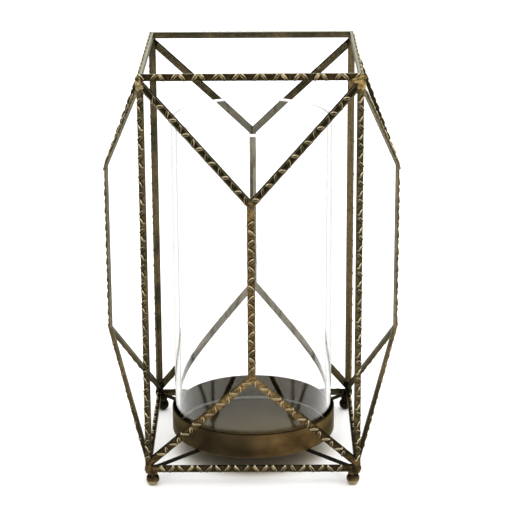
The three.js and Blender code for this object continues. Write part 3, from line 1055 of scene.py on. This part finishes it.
def rod_points(first, last, phase):
    """Rings along a rod that is slightly uneven in thickness and has chamfered ends."""
    up = Vector((0, 0, 1))
    across = up.cross((last - first).normalized())
    points = []
    for i in range(ROD_RINGS):
        share = i / (ROD_RINGS - 1)
        radius = (ROD_RADIUS + ROD_SCALE) * (0.985 + 0.012 * math.sin(share * 41 + phase))
        if i in (0, ROD_RINGS - 1):
            radius *= 0.8
        for t in np.linspace(0, 2 * math.pi, ROD_SEGMENTS, endpoint=False):
            points.append(first.lerp(last, share) + (across * math.cos(t) + up * math.sin(t)) * radius)
    return [p[:] for p in points]


def build_rods(material):
    """Round rods under the dish, from corner to corner, thick with scale."""
    z = ROD_Z - ROD_SCALE
    for node in ("brace_rod_long", "brace_rod_back_right", "brace_rod_front_left"):
        low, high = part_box(node)
        falling = node == "brace_rod_long"
        first = Vector((low.x, high.y if falling else low.y, z))
        last = Vector((high.x, low.y if falling else high.y, z))
        points = rod_points(first, last, random.Random(node).uniform(0, 6))
        piece = mesh_object("round_" + node, points, tube_faces(ROD_RINGS, ROD_SEGMENTS), material)
        place_piece(piece, "cage", "dark_bronze", node)


def build_dish(material):
    """Spun pan with a rounded bottom corner and a rolled rim.

    Outside, a highlight is painted along its foot, and its rim is smoke-blackened.
    """
    low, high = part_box("candle_dish")
    outer, base, rim = high.x, low.z, high.z
    inner, floor_z, half = outer - DISH_SHEET, base + DISH_SHEET, DISH_SHEET / 2
    corner = DISH_CORNER_RADIUS
    shares = (0.2, 0.4, 0.6, 0.8, 0.9)
    heights = [base + (rim - base) * share for share in (0.3, 0.5, 0.7, 0.85, 0.92)]
    profile = [(0, base)]
    profile += [(outer * share, base) for share in shares]
    profile += arc((outer - corner, base + corner), corner, -90, 0, 8)
    profile += [(outer, z) for z in heights]
    profile += arc((outer - half, rim - half), half, 0, 180, 8)
    profile += [(inner, z) for z in reversed(heights)]
    profile += arc((outer - corner, base + corner), corner - DISH_SHEET, 0, -90, 6)
    profile += [(outer * share, floor_z) for share in reversed(shares)]
    profile += [(0, floor_z)]
    rub = []
    for radius, z in profile:
        # Painted highlight along the foot; the rim's darkening is from smoke.
        foot = 0.8 * math.exp(-(((z - base - 0.8 * MM) / (0.7 * MM)) ** 2))
        darkening = 0.9 * (z > rim - 1.2 * MM)
        rub.append((foot - darkening) * (radius > inner))
    piece = lathe("spun_candle_dish", profile, DISH_SEGMENTS, material, rub=rub)
    place_piece(piece, "cage", "dish_bronze", "candle_dish")


def build_glass(material):
    """An open cylinder with rounded, ground rims."""
    low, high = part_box("glass_cylinder")
    edge = GLASS_EDGE_RADIUS
    outer = high.x
    inner = outer - GLASS_WALL
    heights = [low.z + (high.z - low.z) * share for share in np.linspace(0.05, 0.95, 19)]
    heights = [low.z + 2 * edge, *heights, high.z - 2 * edge]
    profile = arc((outer - edge, low.z + edge), edge, -90, 0, 5)
    profile += [(outer, z) for z in heights]
    profile += arc((outer - edge, high.z - edge), edge, 0, 90, 6)
    profile += arc((inner + edge, high.z - edge), edge, 90, 180, 6)
    profile += [(inner, z) for z in reversed(heights)]
    profile += arc((inner + edge, low.z + edge), edge, 180, 270, 5)
    ground = [float(z > high.z - 1.3 * edge or z < low.z + 1.3 * edge) for _, z in profile]
    piece = lathe("clear_glass_cylinder", profile, GLASS_SEGMENTS, material, ground=ground)
    place_piece(piece, "glass", "clear_glass", "glass_cylinder")


# ---- Studio ------------------------------------------------------------------------------------

FLOOR_HALF_SIZE = 20.0
WHITE = (1.0, 1.0, 1.0)
SOFTBOX_WHITE = (1.0, 0.97, 0.91)
KEY_SOFTBOX = dict(place=(1.35, -1.35, 0.55), width=0.7, height=1.3, radiance=1.6)
TOP_SOFTBOX = dict(place=(-0.2, -1.0, 1.9), width=1.4, height=0.9, radiance=3.0)


def add_floor(material):
    """A wide flat floor, which fills the picture behind the lantern too."""
    size = FLOOR_HALF_SIZE
    points = [(-size, -size, 0), (size, -size, 0), (size, size, 0), (-size, size, 0)]
    mesh_object("floor", points, [(0, 1, 2, 3)], material)


def add_softbox(name, place, width, height, radiance):
    """A rectangular light that looks at the middle of the lantern."""
    light = bpy.data.lights.new(name, "AREA")
    light.shape = "RECTANGLE"
    light.size, light.size_y = width, height
    light.energy = radiance * math.pi * width * height
    light.color = SOFTBOX_WHITE
    box = bpy.data.objects.new(name, light)
    bpy.context.scene.collection.objects.link(box)
    middle = Vector((0, 0, CAD_HIGH[2] / 2))
    aim = (middle - Vector(place)).to_track_quat("-Z", "Y").to_matrix().to_4x4()
    box.matrix_world = Matrix.Translation(place) @ aim


def add_world():
    """Soft white room: bright behind and overhead, darker where the camera stands."""
    world = bpy.data.worlds.new("studio")
    bpy.context.scene.world = world
    world.use_nodes = True
    w = Nodes(world.node_tree)
    background = w.tree.nodes["Background"]
    w.feed(background.inputs["Color"], WHITE)
    parts = w.node("ShaderNodeSeparateXYZ")
    w.feed(parts.inputs[0], w.node("ShaderNodeTexCoord").outputs["Generated"])
    behind = w.ramp(parts.outputs["Y"], -0.85, 0.75, 0.30, 1.2)
    overhead = w.ramp(parts.outputs["Z"], 0.3, 0.85, 0.0, 1.35)
    from_the_right = w.ramp(parts.outputs["X"], -1, 1, 0.72, 1.22)
    room = w.math("MULTIPLY", w.math("ADD", behind, overhead), from_the_right)
    w.feed(background.inputs["Strength"], room)


def set_look():
    """Plain colours, without a film curve."""
    view = bpy.context.scene.view_settings
    view.view_transform = "Standard"
    view.look = "None"
    view.exposure = 0.0


# ---- Build -------------------------------------------------------------------------------------

add_camera()
set_look()
add_world()
add_softbox("key_softbox", **KEY_SOFTBOX)
add_softbox("top_softbox", **TOP_SOFTBOX)
add_floor(floor_white())
build_cage(hammered_bronze())
build_welds(weld_bronze("weld_bronze", (0.30, 0.46)))
build_feet(weld_bronze("cast_bronze", (0.22, 0.32)))
build_rods(rod_bronze())
build_dish(dish_bronze())
build_glass(clear_glass())
